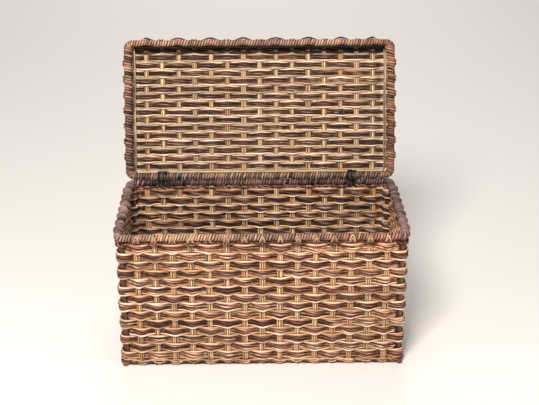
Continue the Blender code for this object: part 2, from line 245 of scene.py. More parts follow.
def dye(rng, codes, route, joins, mottle, knots):
    """Colours along the strands of `route`. Each changes to another colour of
    `codes` at about `joins` places, where a new length was laid in, and is mottled
    by up to `mottle` through `knots` random values."""
    count, stations = route.shape[:2]
    palette = np.stack([paint(code) for code in codes])
    runs = joins + 1
    picks = rng.integers(0, len(codes), (count, runs + 1))
    place = np.linspace(0, runs, stations)[None] + rng.uniform(0, 1, (count, 1))
    index = place.astype(int).clip(0, runs)
    colour = palette[np.take_along_axis(picks, index, 1)]
    value = 1 + mottle * wander(rng, count, stations, knots)
    value *= 1 + 0.10 * rng.uniform(-1, 1, (count, 1))
    return colour * value[..., None]


# Painted shade in a strand's grooves is brown: it takes out blue most.
SHADE_TINT = np.array([1.0, 0.69, 0.52])
STRAND_GIRTH_MM = 14.0    # the turn of the UV stands for this much
UNSHADED_FROM = 0.9          # cosine of the turn from which a strand has no painted shade


def strand_finish(name, roughness, grain_mm, twist, relief, fleck, groove, lobes, gloss,
                  dim=-0.1):
    """A strand's material. Its colour is the strand's own, flecked along its
    fibres, with painted shade round it. Fibres run along the UV's length, and lean
    by `twist` turns a metre. `grain_mm` is the width of a fibre. Brown painted shade
    lies in the grooves, where the cosine of `lobes` turns round the strand is low,
    and below `dim` the colour is multiplied by `groove`."""
    material, tree, shader = finish_of(name, roughness)
    shader.inputs["Specular IOR Level"].default_value = gloss
    uv = node(tree, "ShaderNodeUVMap", {"uv_map": "along"})
    parts = node(tree, "ShaderNodeSeparateXYZ", None, {0: (uv, 0)})
    lean = node(tree, "ShaderNodeMath", {"operation": "MULTIPLY", 1: twist}, {0: (parts, "X")})
    leaned = node(tree, "ShaderNodeMath", {"operation": "ADD"}, {0: (lean, 0), 1: (parts, "Y")})
    fibres_round = STRAND_GIRTH_MM / grain_mm
    round_it = node(tree, "ShaderNodeMath", {"operation": "MULTIPLY", 1: fibres_round},
                    {0: (leaned, 0)})
    along = node(tree, "ShaderNodeMath", {"operation": "MULTIPLY", 1: 60.0}, {0: (parts, "X")})
    place = node(tree, "ShaderNodeCombineXYZ", None, {"X": (along, 0), "Y": (round_it, 0)})
    fibre = node(tree, "ShaderNodeTexNoise", {"Scale": 1.0, "Detail": 3.0, "Roughness": 0.6},
                 {"Vector": (place, 0)})
    ramp = node(tree, "ShaderNodeMapRange",
                {"From Min": 0.3, "From Max": 0.7, "To Min": 1 - fleck, "To Max": 1 + fleck * 0.4},
                {"Value": (fibre, "Fac")})
    turn = node(tree, "ShaderNodeMath", {"operation": "MULTIPLY", 1: 2 * math.pi * lobes},
                {0: (parts, "Y")})
    wave = node(tree, "ShaderNodeMath", {"operation": "COSINE"}, {0: (turn, 0)})
    lit_share = node(tree, "ShaderNodeMapRange", {"From Min": dim, "From Max": UNSHADED_FROM},
                 {"Value": (wave, 0)})
    groove_shade = groove * SHADE_TINT
    shade = node(tree, "ShaderNodeVectorMath",
                 {"operation": "MULTIPLY_ADD", 1: tuple(1 - groove_shade), 2: tuple(groove_shade)},
                 {0: (lit_share, 0)})
    tone = node(tree, "ShaderNodeAttribute", {"attribute_name": "tone"})
    shaded_tone = node(tree, "ShaderNodeVectorMath", {"operation": "MULTIPLY"},
                 {0: (tone, "Color"), 1: (shade, 0)})
    colour = node(tree, "ShaderNodeVectorMath", {"operation": "SCALE"},
                  {0: (shaded_tone, 0), "Scale": (ramp, 0)})
    bump = node(tree, "ShaderNodeBump", {"Strength": relief, "Distance": 0.0006},
                {"Height": (fibre, "Fac")})
    tree.links.new(colour.outputs[0], shader.inputs["Base Color"])
    tree.links.new(bump.outputs["Normal"], shader.inputs["Normal"])
    return material


# Rattan cane, peeled and split: a hard, slightly glossy skin, with fine grain 1.2 mm
# wide running lengthwise and darker flecks.
# Painted shade darkens the cane along its two edges.
cane = strand_finish("peeled_rattan_cane", 0.42, 1.2, 0.0, 0.35, 0.22, 0.46, 2, 0.5, -0.6)
BARK_POLE = ["755443", "654636", "826350"]
GROWTH_JOINT = 0.16       # metres between two growth joints of a pole


def poles(name, starts, ends, radius, rng, codes=BARK_POLE, shade=1.0):
    """Straight cane poles. The radius swells by a tenth at each growth joint, over
    4 mm each way, and `shade` multiplies the colour of each."""
    starts, ends = np.array(starts, float), np.array(ends, float)
    stations = 60
    t = np.linspace(0, 1, stations)[None, :, None]
    route = starts[:, None] * (1 - t) + ends[:, None] * t
    length = np.linalg.norm(ends - starts, axis=1)[:, None]
    along = t[..., 0] * length + rng.uniform(0, GROWTH_JOINT, (len(starts), 1))
    knuckle = np.exp(-(((along % GROWTH_JOINT) - GROWTH_JOINT / 2) / 0.004) ** 2)
    thick = radius * (1 + 0.1 * knuckle - 0.02)
    tone = dye(rng, codes, route, 0, 0.12, 12)
    tone = tone * (1 - 0.35 * knuckle[..., None]) * np.reshape(shade, (-1, 1, 1))
    aside = np.cross(ends - starts, [0.31, 0.52, 0.79])[:, None]
    return strands(name, route, aside, thick, thick, tone, cane, 14, looped=False)


rng = np.random.default_rng(11)
SIDES = ("front", "back", "left", "right")
POST_NAMES = [f"corner_post_{depth}_{width}" for depth in SIDES[:2] for width in SIDES[2:]]
post_ends = [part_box(name) for name in POST_NAMES]
FOOT_GAP = 0.002          # the posts stop just above what the trunk stands on
post_low = [((lo[0] + hi[0]) / 2, (lo[1] + hi[1]) / 2, lo[2] + FOOT_GAP)
            for lo, hi in post_ends]
post_high = [(x, y, hi[2]) for (x, y, _), (lo, hi) in zip(post_low, post_ends)]
POST_RADIUS = (post_ends[0][1][0] - post_ends[0][0][0]) / 2
corner_posts = poles("corner_posts", post_low, post_high, POST_RADIUS, rng)
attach(corner_posts, "trunk")
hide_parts(*POST_NAMES)

rail_starts, rail_ends = [], []
for side in SIDES:
    lo, hi = (np.array(corner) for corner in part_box(f"base_rail_{side}"))
    middle = (lo + hi) / 2
    run = 0 if side in ("front", "back") else 1
    start, end = middle.copy(), middle.copy()
    start[run], end[run] = lo[run], hi[run]
    rail_starts.append(start)
    rail_ends.append(end)
RAIL_RADIUS = (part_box("base_rail_front")[1][2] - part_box("base_rail_front")[0][2]) / 2
base_rails = poles("base_rails", rail_starts, rail_ends, RAIL_RADIUS, rng)
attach(base_rails, "trunk")
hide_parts(*[f"base_rail_{side}" for side in SIDES])

# Sawn softwood: the runners' straight grain, 3 mm apart, with no varnish.
softwood, tree, shader = finish_of("sawn_softwood", 0.7)
where = node(tree, "ShaderNodeTexCoord")
stretch = node(tree, "ShaderNodeMapping", {"Scale": (330.0, 12.0, 330.0)},
               {"Vector": (where, "Object")})
grain = node(tree, "ShaderNodeTexNoise", {"Scale": 1.0, "Detail": 4.0}, {"Vector": (stretch, 0)})
ramp = node(tree, "ShaderNodeMix", {"data_type": "RGBA", "A": (*paint("8E6B45"), 1),
                                    "B": (*paint("C49C6A"), 1)}, {"Factor": (grain, "Fac")})
tree.links.new(ramp.outputs[2], shader.inputs["Base Color"])
relief = node(tree, "ShaderNodeBump", {"Strength": 0.2, "Distance": 0.0005},
              {"Height": (grain, "Fac")})
tree.links.new(relief.outputs["Normal"], shader.inputs["Normal"])
for name in ("left", "centre", "right"):
    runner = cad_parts[f"floor_runner_{name}"]
    runner.data.materials.clear()
    runner.data.materials.append(softwood)

# The rim poles are whole cane with the bark on. They keep their own shape, and lie
# in the dark under the binding.
pole_skin, tree, shader = finish_of("rattan_pole_bark", 0.5)
shader.inputs["Base Color"].default_value = (*paint("4E342A"), 1)
for name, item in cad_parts.items():
    if "rim_pole" in name:
        item.data.materials.clear()
        item.data.materials.append(pole_skin)


# Wall stakes.
# Each upright of the weave is three thin peeled canes side by side, pushed down
# through the border and cut off under the rim. Fifteen stand along each long wall
# and seven along each short one, between the corner posts.
STAKE_RADIUS = 0.0022
LONG_STAKES, SHORT_STAKES = 15, 7
LONG_PITCH, SHORT_PITCH = 0.039, 0.037
wall_lo = np.array(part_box("woven_wall_front")[0])
wall_hi = np.array(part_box("woven_wall_right")[1])
WALL_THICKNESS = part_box("woven_wall_front")[1][1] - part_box("woven_wall_front")[0][1]
WALL_X = wall_hi[0] - WALL_THICKNESS / 2
WALL_Y = -wall_lo[1] - WALL_THICKNESS / 2
WALL_HIGH = wall_hi[2]
POST_X, POST_Y = abs(post_low[0][0]), abs(post_low[0][1])


def spaced(count, pitch):
    """Places of `count` things `pitch` apart, the middle one at 0."""
    return (np.arange(count) - (count - 1) / 2) * pitch


def sideways(out):
    """Directions in plan turned a quarter anticlockwise."""
    return np.stack([-out[:, 1], out[:, 0]], 1)


def uprights(half_x, half_y, post_x, post_y):
    """Uprights round a basket, from the front left corner anticlockwise as seen
    from above: their places, outward directions and which are corner posts."""
    xs, ys = spaced(LONG_STAKES, LONG_PITCH), spaced(SHORT_STAKES, SHORT_PITCH)
    diagonal = math.sqrt(0.5)
    place, out, post = [], [], []
    for sx, sy, run, direction in ((-1, -1, xs, (0, -1)), (1, -1, ys, (1, 0)),
                                   (1, 1, -xs, (0, 1)), (-1, 1, -ys, (-1, 0))):
        wall = np.multiply(direction, (half_x, half_y))
        place += [[(sx * post_x, sy * post_y)],
                  np.where(np.array(direction) == 0, run[:, None], wall)]
        out += [[(sx * diagonal, sy * diagonal)], [direction] * len(run)]
        post += [[True], [False] * len(run)]
    return np.concatenate(place), np.concatenate(out), np.concatenate(post)


STAKE_TONES = ["D2A374", "C29266", "E5C091", "B79F7C", "D09A6B", "A99070", "DCAD7C", "EDCC9F"]
# Painted shade and highlight: of the three canes of an upright, the outer two are darker and the
# middle one lighter.
STAKE_PAINTED_SHADING = np.array([0.78, 1.12, 0.84])
trunk_place, trunk_out, trunk_post = uprights(WALL_X, WALL_Y, POST_X, POST_Y)

# The three canes of an upright all but touch, and each one wanders a little.
STAKE_LOW, STAKE_STATIONS = 0.001, 26
rng = np.random.default_rng(21)
walls_only = ~trunk_post
out = trunk_out[walls_only]
aside = sideways(out)
steps = spaced(3, 2.02 * STAKE_RADIUS)[:, None]
base = trunk_place[walls_only][:, None] + steps * aside[:, None]
base = base + rng.uniform(-1, 1, (len(out), 3, 1)) * 0.0005 * out[:, None]
base = base.reshape(-1, 2)
sway = wander(rng, len(base), STAKE_STATIONS, 7) * 0.0009
route = np.empty((len(base), STAKE_STATIONS, 3))
route[..., :2] = base[:, None] + sway[..., None] * np.repeat(aside, 3, 0)[:, None]
route[..., 2] = np.linspace(STAKE_LOW, WALL_HIGH - 0.0002, STAKE_STATIONS)
face = np.insert(np.repeat(out, 3, 0), 2, 0, 1)
tone = dye(rng, STAKE_TONES, route, 0, 0.16, 9)
# Painted shade on the outer canes, painted highlight on the middle one.
tone = tone * STAKE_PAINTED_SHADING[np.arange(len(route)) % 3, None, None]
thick = STAKE_RADIUS * (1 + 0.08 * wander(rng, *route.shape[:2], 6))
wall_stakes = strands("wall_stakes", route, face[:, None], thick, thick, tone, cane, 8, False)
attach(wall_stakes, "trunk")


# Wall weavers.
# Fourteen rows go over and under the uprights and on round the corner posts. A row
# is a flat bundle: a pale split cane along its top and its bottom, and three dark
# fibre cords lying side by side between them, all laid in together.
ROWS = 14
ROW_PITCH = 0.02038
TOP_ROW = 0.2900
CANE_DEEP, CANE_TALL = 0.0018, 0.0029
CORD_THICK, CORD_THIN = 0.0030, 0.0026
CORD_LAY = 0.11           # metres in which a cord turns once
CANE_LANES = [0.80, -0.80]            # shares of half a row's height
CORD_LANES = [0.41, 0.0, -0.41]
SWELL, PINCH = 1.15, 0.96             # how tall a bundle is over an upright, in a gap
SAG = 0.0014              # how far a bundle hangs where it is outside an upright
OVER = 0.0048             # from the middle of the wall to a strand over a stake
LOOSE = 0.0004            # how far a strand strays from its lane
BACK_FROM = 0.12          # y from which a strand belongs to the back

Pins = namedtuple("Pins", "middle out onward outside inside number pinned")


def weave_stations(place, out, post):
    """Where a row is pinned, going round: each stake, each gap, and three points
    at a corner post. The pins are middles [station, xy], outward and onward
    directions, the set-off (outward, onward) when the row passes outside and
    inside, the upright's number, and 1 at an upright or 0 at a gap."""
    around_outside = [(0.0080, -0.0052), (0.0098, 0.0), (0.0080, 0.0052)]
    around_inside = [(-0.0046, -0.0110), (-0.0086, 0.0), (-0.0046, 0.0110)]
    rows = []
    count = len(place)
    for k in range(count):
        ahead = (k + 1) % count
        onward = (-out[k][1], out[k][0])
        if post[k]:
            for outside, inside in zip(around_outside, around_inside):
                rows.append((*place[k], *out[k], *onward, *outside, *inside, k, 1))
        else:
            rows.append((*place[k], *out[k], *onward, OVER, 0, -OVER, 0, k, 1))
        wall = ahead if post[k] else k
        share = 0.35 if post[k] else (0.65 if post[ahead] else 0.5)
        middle = place[k] * share + place[ahead] * (1 - share)
        across = np.abs(out[wall]) > 0.5
        middle = np.where(across, place[wall], middle)
        turn = (-out[wall][1], out[wall][0])
        rows.append((*middle, *out[wall], *turn, 0, 0, 0, 0, k, 0))
    table = np.array(rows)
    return Pins(*np.split(table[:, :10], 5, axis=1), table[:, 10].astype(int), table[:, 11])


def lanes_of(shape, offsets):
    """Strands that keep to their own lanes: heights as shares of half the bundle's
    own, and no fold."""
    lane = np.broadcast_to(np.array(offsets)[None, :, None], shape)
    return lane, np.zeros(shape)


def shuffled(rng, shape, lanes=CORD_LANES):
    """Strands in lanes that drift up and down in them, and fold over each other's
    edges, as a handful of loose cords does."""
    rows, count, stations = shape
    drift = wander(rng, rows * count, stations, stations // 3).reshape(shape)
    fold = wander(rng, rows * count, stations, stations // 3).reshape(shape)
    return np.array(lanes)[None, :, None] + 0.06 * drift, 0.0010 * fold


def painted_crevice_shade(pinned, route, least):
    """Painted shade along a strand: 1 over an upright and `least` half
    way between two, where it dives behind the weave."""
    at = np.arange(route.shape[1]) / STEPS
    share = np.interp(at, np.arange(len(pinned) + 1), np.append(pinned, pinned[0]))
    # The painted shade is browner as well as darker: it takes out blue most.
    low = least * np.array([1.0, 0.78, 0.58])
    return low + (1 - low) * np.sin(share * np.pi / 2)[:, None]


def row_edges(rng, rows, stations, top, pitch, sway=0.0010):
    """Heights of the lines where rows meet, from the first row's top to the last
    one's foot. They wander by `sway`, and rows on both sides of a line follow it,
    so that a bundle is tall where its neighbours are low."""
    level = top - pitch * np.arange(rows + 1)[:, None]
    level = level + sway * wander(rng, rows + 1, stations, 9)
    return level + 0.0007 * rng.uniform(-1, 1, (rows + 1, stations))


def row_routes(rng, pins, edges, parity, lane, fold):
    """Centre lines [row x strand, station, xyz] of the strands of the rows between
    `edges`. A strand passes outside an upright where row + upright is even, and
    hangs by SAG there. The bundle is pinched in the gaps."""
    middle, out, onward, outside, inside, number, pinned = pins
    rows, count = lane.shape[:2]
    goes_out = ((number[None] + parity[:, None]) % 2 == 0)[..., None]
    shift = np.where(goes_out, outside[None], inside[None])
    plan = (middle[None] + out[None] * shift[..., :1] + onward[None] * shift[..., 1:])
    level, half = (edges[:-1] + edges[1:]) / 2, (edges[:-1] - edges[1:]) / 2
    spread = half * np.where(pinned > 0, SWELL, PINCH)[None]
    route = np.empty((rows, count, len(number), 3))
    route[..., :2] = plan[:, None]
    route[..., 2] = level[:, None] + lane * spread[:, None]
    route[..., 2] -= (SAG * pinned * goes_out[..., 0])[:, None]
    route[..., 2] += LOOSE * rng.uniform(-1, 1, route.shape[:3])
    push = fold[..., None] + 0.5 * LOOSE * rng.uniform(-1, 1, route.shape[:3] + (1,))
    route[..., :2] += push * out
    return route.reshape(rows * count, len(number), 3)


def lone_strands(rng, pins, heights, parities):
    """Centre lines of rows of one strand each, within 0.8 mm of `heights`."""
    level = np.array(heights)[:, None] + 0.0008 * rng.uniform(-1, 1, (len(heights), ALL_PINS))
    return np.concatenate([
        row_routes(rng, pins, np.stack([row + 0.001, row - 0.001]), np.array([parity]),
                   *lanes_of((1, 1, ALL_PINS), [0.0]))
        for row, parity in zip(level, parities)])


def wall_facing(route):
    """Outward direction in plan, from the line's own heading turned a quarter."""
    heading = np.roll(route, -1, 1) - np.roll(route, 1, 1)
    return np.stack([heading[..., 1], -heading[..., 0], np.zeros(route.shape[:2])], -1)


# Hand-twisted abaca fibre: a dull, hairy cord, whose 0.9 mm fibres lean a little.
# Painted shade darkens two grooves that wind round it.
fibre_cord = strand_finish("twisted_abaca_cord", 0.66, 0.9, 9.0, 0.8, 0.42, 0.32, 2, 0.22)
PALE_CANE = ["F4D9BE", "E9C9A7", "DFBD99", "F8E1CC", "D3AB86", "EDCFAF", "C39B7A", "F2D3B1"]
DARK_CORD = ["A17059", "B68971", "7C5547", "D3A990", "8C6C61", "A57462", "E4BEA1", "6A4E45",
             "A57D68", "C69C84", "EDCDB2"]
STEPS = 5
pins = weave_stations(trunk_place, trunk_out, trunk_post)
ALL_PINS = len(pins.number)
row_number = np.arange(1, ROWS + 1)
edges = row_edges(np.random.default_rng(30), ROWS, ALL_PINS, TOP_ROW + ROW_PITCH / 2, ROW_PITCH)

rng = np.random.default_rng(31)
shape = (ROWS, 2, ALL_PINS)
route = row_routes(rng, pins, edges, row_number, *lanes_of(shape, CANE_LANES))
route = bend_through(route, STEPS)
tone = dye(rng, PALE_CANE, route, 5, 0.15, 130)
# Painted shade where the canes dive between the uprights.
tone = tone * painted_crevice_shade(pins.pinned, route, 0.86)
tone[0] = tone[0] * (1.02, 0.84, 0.74)
thick = 1 + 0.14 * wander(rng, *route.shape[:2], 90)
wall_canes = strands("wall_weaver_canes", route, wall_facing(route), CANE_DEEP * thick,
                     CANE_TALL * thick, tone, cane)
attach(wall_canes, "trunk")
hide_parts(*[f"woven_wall_{side}" for side in SIDES])

for part, first, last in (("upper", 0, 7), ("lower", 7, 14)):
    shape = (last - first, 3, ALL_PINS)
    route = row_routes(rng, pins, edges[first:last + 1], row_number[first:last],
                       *shuffled(rng, shape))
    route = bend_through(route, STEPS)
    tone = dye(rng, DARK_CORD, route, 9, 0.34, 240)
    # Painted shade where the cords dive between the uprights.
    tone = tone * painted_crevice_shade(pins.pinned, route, 0.42)
    at_back = route[..., 1:2] > BACK_FROM
    # Painted light: the top row's cords, except at the back, are about twice as light, against the
    # shadow of the rim above them. Painted shade: all cords at the back are darker.
    tone[:3] *= np.where(at_back[:3] | (first > 0), 1.0, (2.0, 1.95, 1.85))
    tone *= np.where(at_back, (0.64, 0.70, 0.78), 1.0)
    plump = 1 + 0.12 * wander(rng, *route.shape[:2], 160)
    cords = strands(f"wall_weaver_cords_{part}", route, wall_facing(route),
                    CORD_THICK * plump, CORD_THIN * plump, tone, fibre_cord, lay=CORD_LAY)
    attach(cords, "trunk")


# Top pairing and base border.
# Under the rim a pair of dark cords twines the stakes in place, with one thin cane.
# At the foot three twisted cords twine round, under wavy canes that tie in each
# stake, and the cut ends of rods show below them.
rng = np.random.default_rng(41)
PAIRING_HEIGHTS = [0.3046, 0.3060, 0.3016]          # two cords, and the cane
PAIRING_DIVES = [0.0058, 0.0008]      # of the cords, at every other stake
PAIRING_SIZES = np.array([[0.0032], [0.0032], [0.0016]])
TIGHT_LAY = 0.03
route = lone_strands(rng, pins, PAIRING_HEIGHTS, (0, 1, 1))
dive = (pins.number % 2 == 0) & (pins.pinned > 0) & (pins.middle[:, 1] < BACK_FROM)
route[:2, :, 2] -= np.outer(PAIRING_DIVES, dive)
route[:2, :, :2] += 0.0012 * pins.out
route = bend_through(route, STEPS)
tone = dye(rng, ["9A6A5A", "A87A68", "865A4C", "B48C78"], route, 4, 0.3, 160)
tone[2] = dye(rng, ["C79B70", "B58A60"], route[:1], 4, 0.2, 60)[0]
pairing = strands("wall_top_pairing", route, wall_facing(route), PAIRING_SIZES,
                  0.82 * PAIRING_SIZES, tone, fibre_cord, lay=TIGHT_LAY)
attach(pairing, "trunk")

# Cord i of 3 stands at angle t + 120 i degrees: its height is a cosine and its
# place outwards a sine, and t goes round whole times along the row, unevenly.
BORDER_HEIGHT = 0.0090
CORNER_PUSH, WALL_PUSH = 0.0075, 0.0022             # outwards from the uprights
out = pins.out
border_push = np.where(np.abs(out[:, 0] * out[:, 1]) > 0.1, CORNER_PUSH, WALL_PUSH)
t = 2 * np.pi * round(ALL_PINS / 3.1) * np.arange(ALL_PINS) / ALL_PINS + rng.uniform(0, 6.3)
t = t + 0.9 * wander(rng, 1, ALL_PINS, ALL_PINS // 4) + 2 * np.pi * np.arange(3)[:, None] / 3
rope = np.empty((3, ALL_PINS, 3))
rope[..., :2] = pins.middle + out * (border_push + 0.0026 * np.sin(t))[..., None]
rope[..., 2] = BORDER_HEIGHT + 0.0022 * np.cos(t)
rope = bend_through(rope, STEPS)
tone = dye(rng, ["6A4234", "805040", "54362C", "9A6E56"], rope, 6, 0.35, 260)
border_rope = strands("base_border_cord", rope, wall_facing(rope), 0.0032, 0.0024, tone,
                      fibre_cord, lay=TIGHT_LAY)
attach(border_rope, "trunk")
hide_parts(*[f"base_border_{side}" for side in SIDES])

WAVE_HEIGHTS = np.array([[0.0136], [0.0122], [0.0108]])
WAVE_DIPS = np.array([[0.0040], [0.0052], [0.0060]])
waves = np.empty((3, ALL_PINS, 3))
odd, at_stake = pins.number % 2 == 1, pins.pinned > 0
dips = np.stack([odd & at_stake, ~odd & at_stake, odd & at_stake])
push = border_push + np.where(dips, 0.0036, 0.0012)
waves[..., :2] = pins.middle + out * push[..., None]
waves[..., 2] = WAVE_HEIGHTS - np.where(dips, WAVE_DIPS, 0)
waves[..., 2] += 0.0011 * rng.uniform(-1, 1, waves.shape[:2])
waves = bend_through(waves, STEPS)
tone = dye(rng, ["DDB48C", "C4946C", "A87658", "8E6248"], waves, 8, 0.3, 160)
border_waves = strands("base_border_canes", waves, wall_facing(waves), 0.0016, 0.0018, tone, cane)
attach(border_waves, "trunk")

ROD_SHARE = 0.62          # of the stakes, whose cut end shows
ROD_END, CORNER_END = 0.0029, 0.0058                # radii
keep = rng.uniform(0, 1, walls_only.sum()) < ROD_SHARE
stubs_at, stubs_out = trunk_place[walls_only][keep], trunk_out[walls_only][keep]
stubs_at = stubs_at + sideways(stubs_out) * rng.uniform(-0.006, 0.006, (keep.sum(), 1))
tips = np.insert(stubs_at + 0.0066 * stubs_out, 2, 0.0050, 1)
roots = np.insert(stubs_at - 0.0060 * stubs_out, 2, 0.0080, 1)
rod_ends = poles("border_rod_ends", roots, tips, ROD_END, rng)
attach(rod_ends, "trunk")
knob_x = POST_X + 0.003
roots = [(sx * knob_x, sy * 0.130, 0.0085) for sy in (-1, 1) for sx in (-1, 1)]
tips = [(sx * knob_x, sy * 0.1648, 0.0070) for sy in (-1, 1) for sx in (-1, 1)]
corner_ends = poles("border_corner_ends", roots, tips, CORNER_END, rng)
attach(corner_ends, "trunk")


# Woven floor.
# A mat of flattened canes: three at a time go over and under thicker canes that
# run from front to back and rest on the base rails.
floor_lo, floor_hi = (np.array(corner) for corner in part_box("woven_floor"))
FLOOR_MID = (floor_lo[2] + floor_hi[2]) / 2
CROSS_PITCH, LENGTH_PITCH = 0.0245, 0.0125
PAIR_APART, THREE_APART = 0.0042, 0.0038            # canes laid side by side
FLOOR_LIFT = 0.0023       # of a flat cane, over a cross cane
POST_FROM, POST_REACH = 0.3000, 0.1415              # canes past this x end at this y
rng = np.random.default_rng(51)
cross_x = np.arange(floor_lo[0] + 0.012, floor_hi[0] - 0.010, CROSS_PITCH)
depth = np.linspace(floor_lo[1] + 0.001, floor_hi[1] - 0.001, 24)
route = np.empty((len(cross_x) * 2, len(depth), 3))
route[..., 0] = (cross_x[:, None] + spaced(2, PAIR_APART)).reshape(-1, 1)
route[..., 0] += 0.0006 * wander(rng, len(route), len(depth), 6)
route[..., 1] = depth
route[..., 2] = FLOOR_MID
at_post = np.abs(route[..., 0]) > POST_FROM
route[..., 1] *= np.where(at_post, POST_REACH / abs(floor_lo[1]), 1.0)
tone = dye(rng, STAKE_TONES, route, 0, 0.15, 9)
floor_stakes = strands("floor_cross_canes", route, (0, 0, 1), 0.0016, 0.0020, tone, cane, 8, False)
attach(floor_stakes, "trunk")

mat_y = np.arange(floor_lo[1] + 0.0065, floor_hi[1] - 0.003, LENGTH_PITCH)
knots_x = np.concatenate([[cross_x[0] - CROSS_PITCH / 2], cross_x, [cross_x[-1] + CROSS_PITCH / 2]])
count = len(mat_y)
lift = np.where((np.arange(len(knots_x))[None] + np.arange(count)[:, None]) % 2 == 0, 1, -1)
lift = lift * FLOOR_LIFT
lift[:, [0, -1]] = 0
route = np.empty((count, 3, len(knots_x), 3))
route[..., 0] = knots_x
route[..., 1] = mat_y[:, None, None] + spaced(3, THREE_APART)[:, None]
route[..., 1] += LOOSE * rng.uniform(-1, 1, route.shape[:3])
route[..., 2] = FLOOR_MID + lift[:, None]
route = bend_through(route.reshape(count * 3, -1, 3), 4, looped=False)
tone = dye(rng, PALE_CANE + ["8A6450", "7A5848"], route, 2, 0.2, 60)
floor_weavers = strands("floor_weavers", route, (0, 0, 1), 0.0011, 0.0019, tone, cane, 6, False)
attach(floor_weavers, "trunk")
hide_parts("woven_floor")


# Trunk rim binding.
# Two fibre cords are wound side by side round the rim pole from end to end, so that
# every turn shows as a ridge. A split cane over each stake makes a pointed tie.
RIM_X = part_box("rim_wrap_right")[1][0] - 0.008
RIM_Y = -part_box("rim_wrap_front")[0][1] - 0.008
RIM_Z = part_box("rim_wrap_front")[1][2] - 0.008
RIM_BEND = 0.012
WIND_RADIUS, WIND_DEEP, WIND_WIDE = 0.0054, 0.0025, 0.0031
RIDGE_PITCH = 0.0062
SIDE_WIDER = 0.42         # the side rims are bound round two poles, and are wider
SIDE_IN = 0.0042          # and set in by this much
TIE_REACH = 0.0095        # along the rim, of the bulge over a tie
WIND_STEPS = 14


def rim_line(stations):
    """A rectangle with round corners, walked at an even pace anticlockwise from
    the front's left end: points [station, xy] and outward directions."""
    quarter = np.linspace(0, np.pi / 2, 10)
    corners = []
    for start, sx, sy in ((np.pi, -1, -1), (1.5 * np.pi, 1, -1), (0, 1, 1), (0.5 * np.pi, -1, 1)):
        turn = start + quarter
        centre = np.array([sx * (RIM_X - RIM_BEND), sy * (RIM_Y - RIM_BEND)])
        corners.append(centre + RIM_BEND * np.stack([np.cos(turn), np.sin(turn)], 1))
    walk = np.concatenate(corners + [corners[0][:1]])
    way = np.concatenate([[0], np.cumsum(np.linalg.norm(np.diff(walk, axis=0), axis=1))])
    at = np.arange(stations) * way[-1] / stations
    point = np.stack([np.interp(at, way, walk[:, i]) for i in (0, 1)], 1)
    ahead = np.stack([np.interp((at + 0.002) % way[-1], way, walk[:, i]) for i in (0, 1)], 1)
    heading = unit(ahead - point)
    return point, -sideways(heading)


def winding(rng, turns, side_tones, bulges, bulge):
    """Two cords wound round the rim line, `turns` times each: at angle t the cord
    stands off the line by the winding radius, cos t outwards and sin t upwards. The
    angle gains a little here and loses there, so that no two turns are as wide.
    Near each place in `bulges` the turns lie over a tie and stand further out, by
    `bulge` times a bell of the distance. Returns route, its standing-off direction
    and tone, from the colour of its side, a little different for every turn."""
    stations = turns * WIND_STEPS
    line, outward = rim_line(stations)
    t = 2 * np.pi * turns * np.arange(stations) / stations
    t = t + 0.6 * wander(rng, 1, stations, turns) + np.array([[0.0], [np.pi]])
    away = np.empty((2, stations, 3))
    away[..., :2] = np.cos(t)[..., None] * outward
    away[..., 2] = np.sin(t)
    radius = WIND_RADIUS + 0.0003 * wander(rng, 2, stations, turns)
    radius = radius + 0.0002 * (outward[:, 1] > 0.9)
    route = radius[..., None] * away
    route[..., 0] *= 1 + SIDE_WIDER * np.abs(outward[:, 0])
    nearest = np.linalg.norm(line[:, None] - bulges[None], axis=2).min(1)
    bell = np.exp(-(nearest / TIE_REACH) ** 2)
    stand = bulge * bell - SIDE_IN * np.abs(outward[:, 0])
    route[..., :2] += line + outward * stand[:, None]
    where = np.array([x for x, _ in side_tones])
    paints = np.stack([paint(code) for _, code in side_tones])
    at = np.arange(stations) / stations
    base = np.stack([np.interp(at, where, paints[:, i]) for i in range(3)], 1)
    off_front = 1 - np.clip(-outward[:, 1:], 0, 1)          # 0 at the front, 1 elsewhere
    # Turns are mottled more strongly off the front.
    value = 1.12 + (0.52 + 0.20 * off_front) * wander(rng, 2, stations, turns * 2)[..., None]
    value = value + (0.34 + 0.34 * off_front) * wander(rng, 2, stations, 130)[..., None]
    value = np.maximum(value, 0.12)
    return route, away, base[None] * value


# Where the walk round the rim is: 0 to 0.32 the front, to 0.5 the right side, to
# 0.82 the back, and to 1 the left side.
TRUNK_RIM_TONES = [(0.00, "84655C"), (0.03, "906A5C"), (0.045, "B28A6A"), (0.10, "B48E70"),
                   (0.14, "9E7A66"), (0.20, "8A6E60"), (0.25, "966C5A"), (0.32, "9C6852"),
                   (0.34, "846660"), (0.50, "665650"), (0.55, "584038"), (0.66, "6A4E44"),
                   (0.80, "5C443A"), (0.84, "82665E"), (0.98, "90716A"), (1.0, "8C6C64")]
rim_length = 4 * (RIM_X + RIM_Y) - (8 - 2 * math.pi) * RIM_BEND
turns = round(rim_length / (2 * RIDGE_PITCH))
rng = np.random.default_rng(61)
side_stakes = walls_only & (np.abs(trunk_out[:, 0]) > 0.5)
rim_places = trunk_place + trunk_out * (RIM_X - WALL_X)
route, away, tone = winding(rng, turns, TRUNK_RIM_TONES, rim_places[side_stakes], 0.0022)
route[..., 2] += RIM_Z
# Near-black painted shade lies between its turns and against the pole.
bound_cord = strand_finish("wound_abaca_cord", 0.55, 1.1, 0.0, 0.6, 0.30, 0.05, 1, 0.35, 0.55)
rim_binding = strands("trunk_rim_binding", route, away, WIND_DEEP, WIND_WIDE, tone, bound_cord,
                      8)
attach(rim_binding, "trunk")
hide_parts(*[f"rim_wrap_{side}" for side in SIDES])

TIE_FOOT, TIE_STAND = 0.0066, 0.0086  # half its width, and its distance from the pole
LOWEST = np.radians(-62)


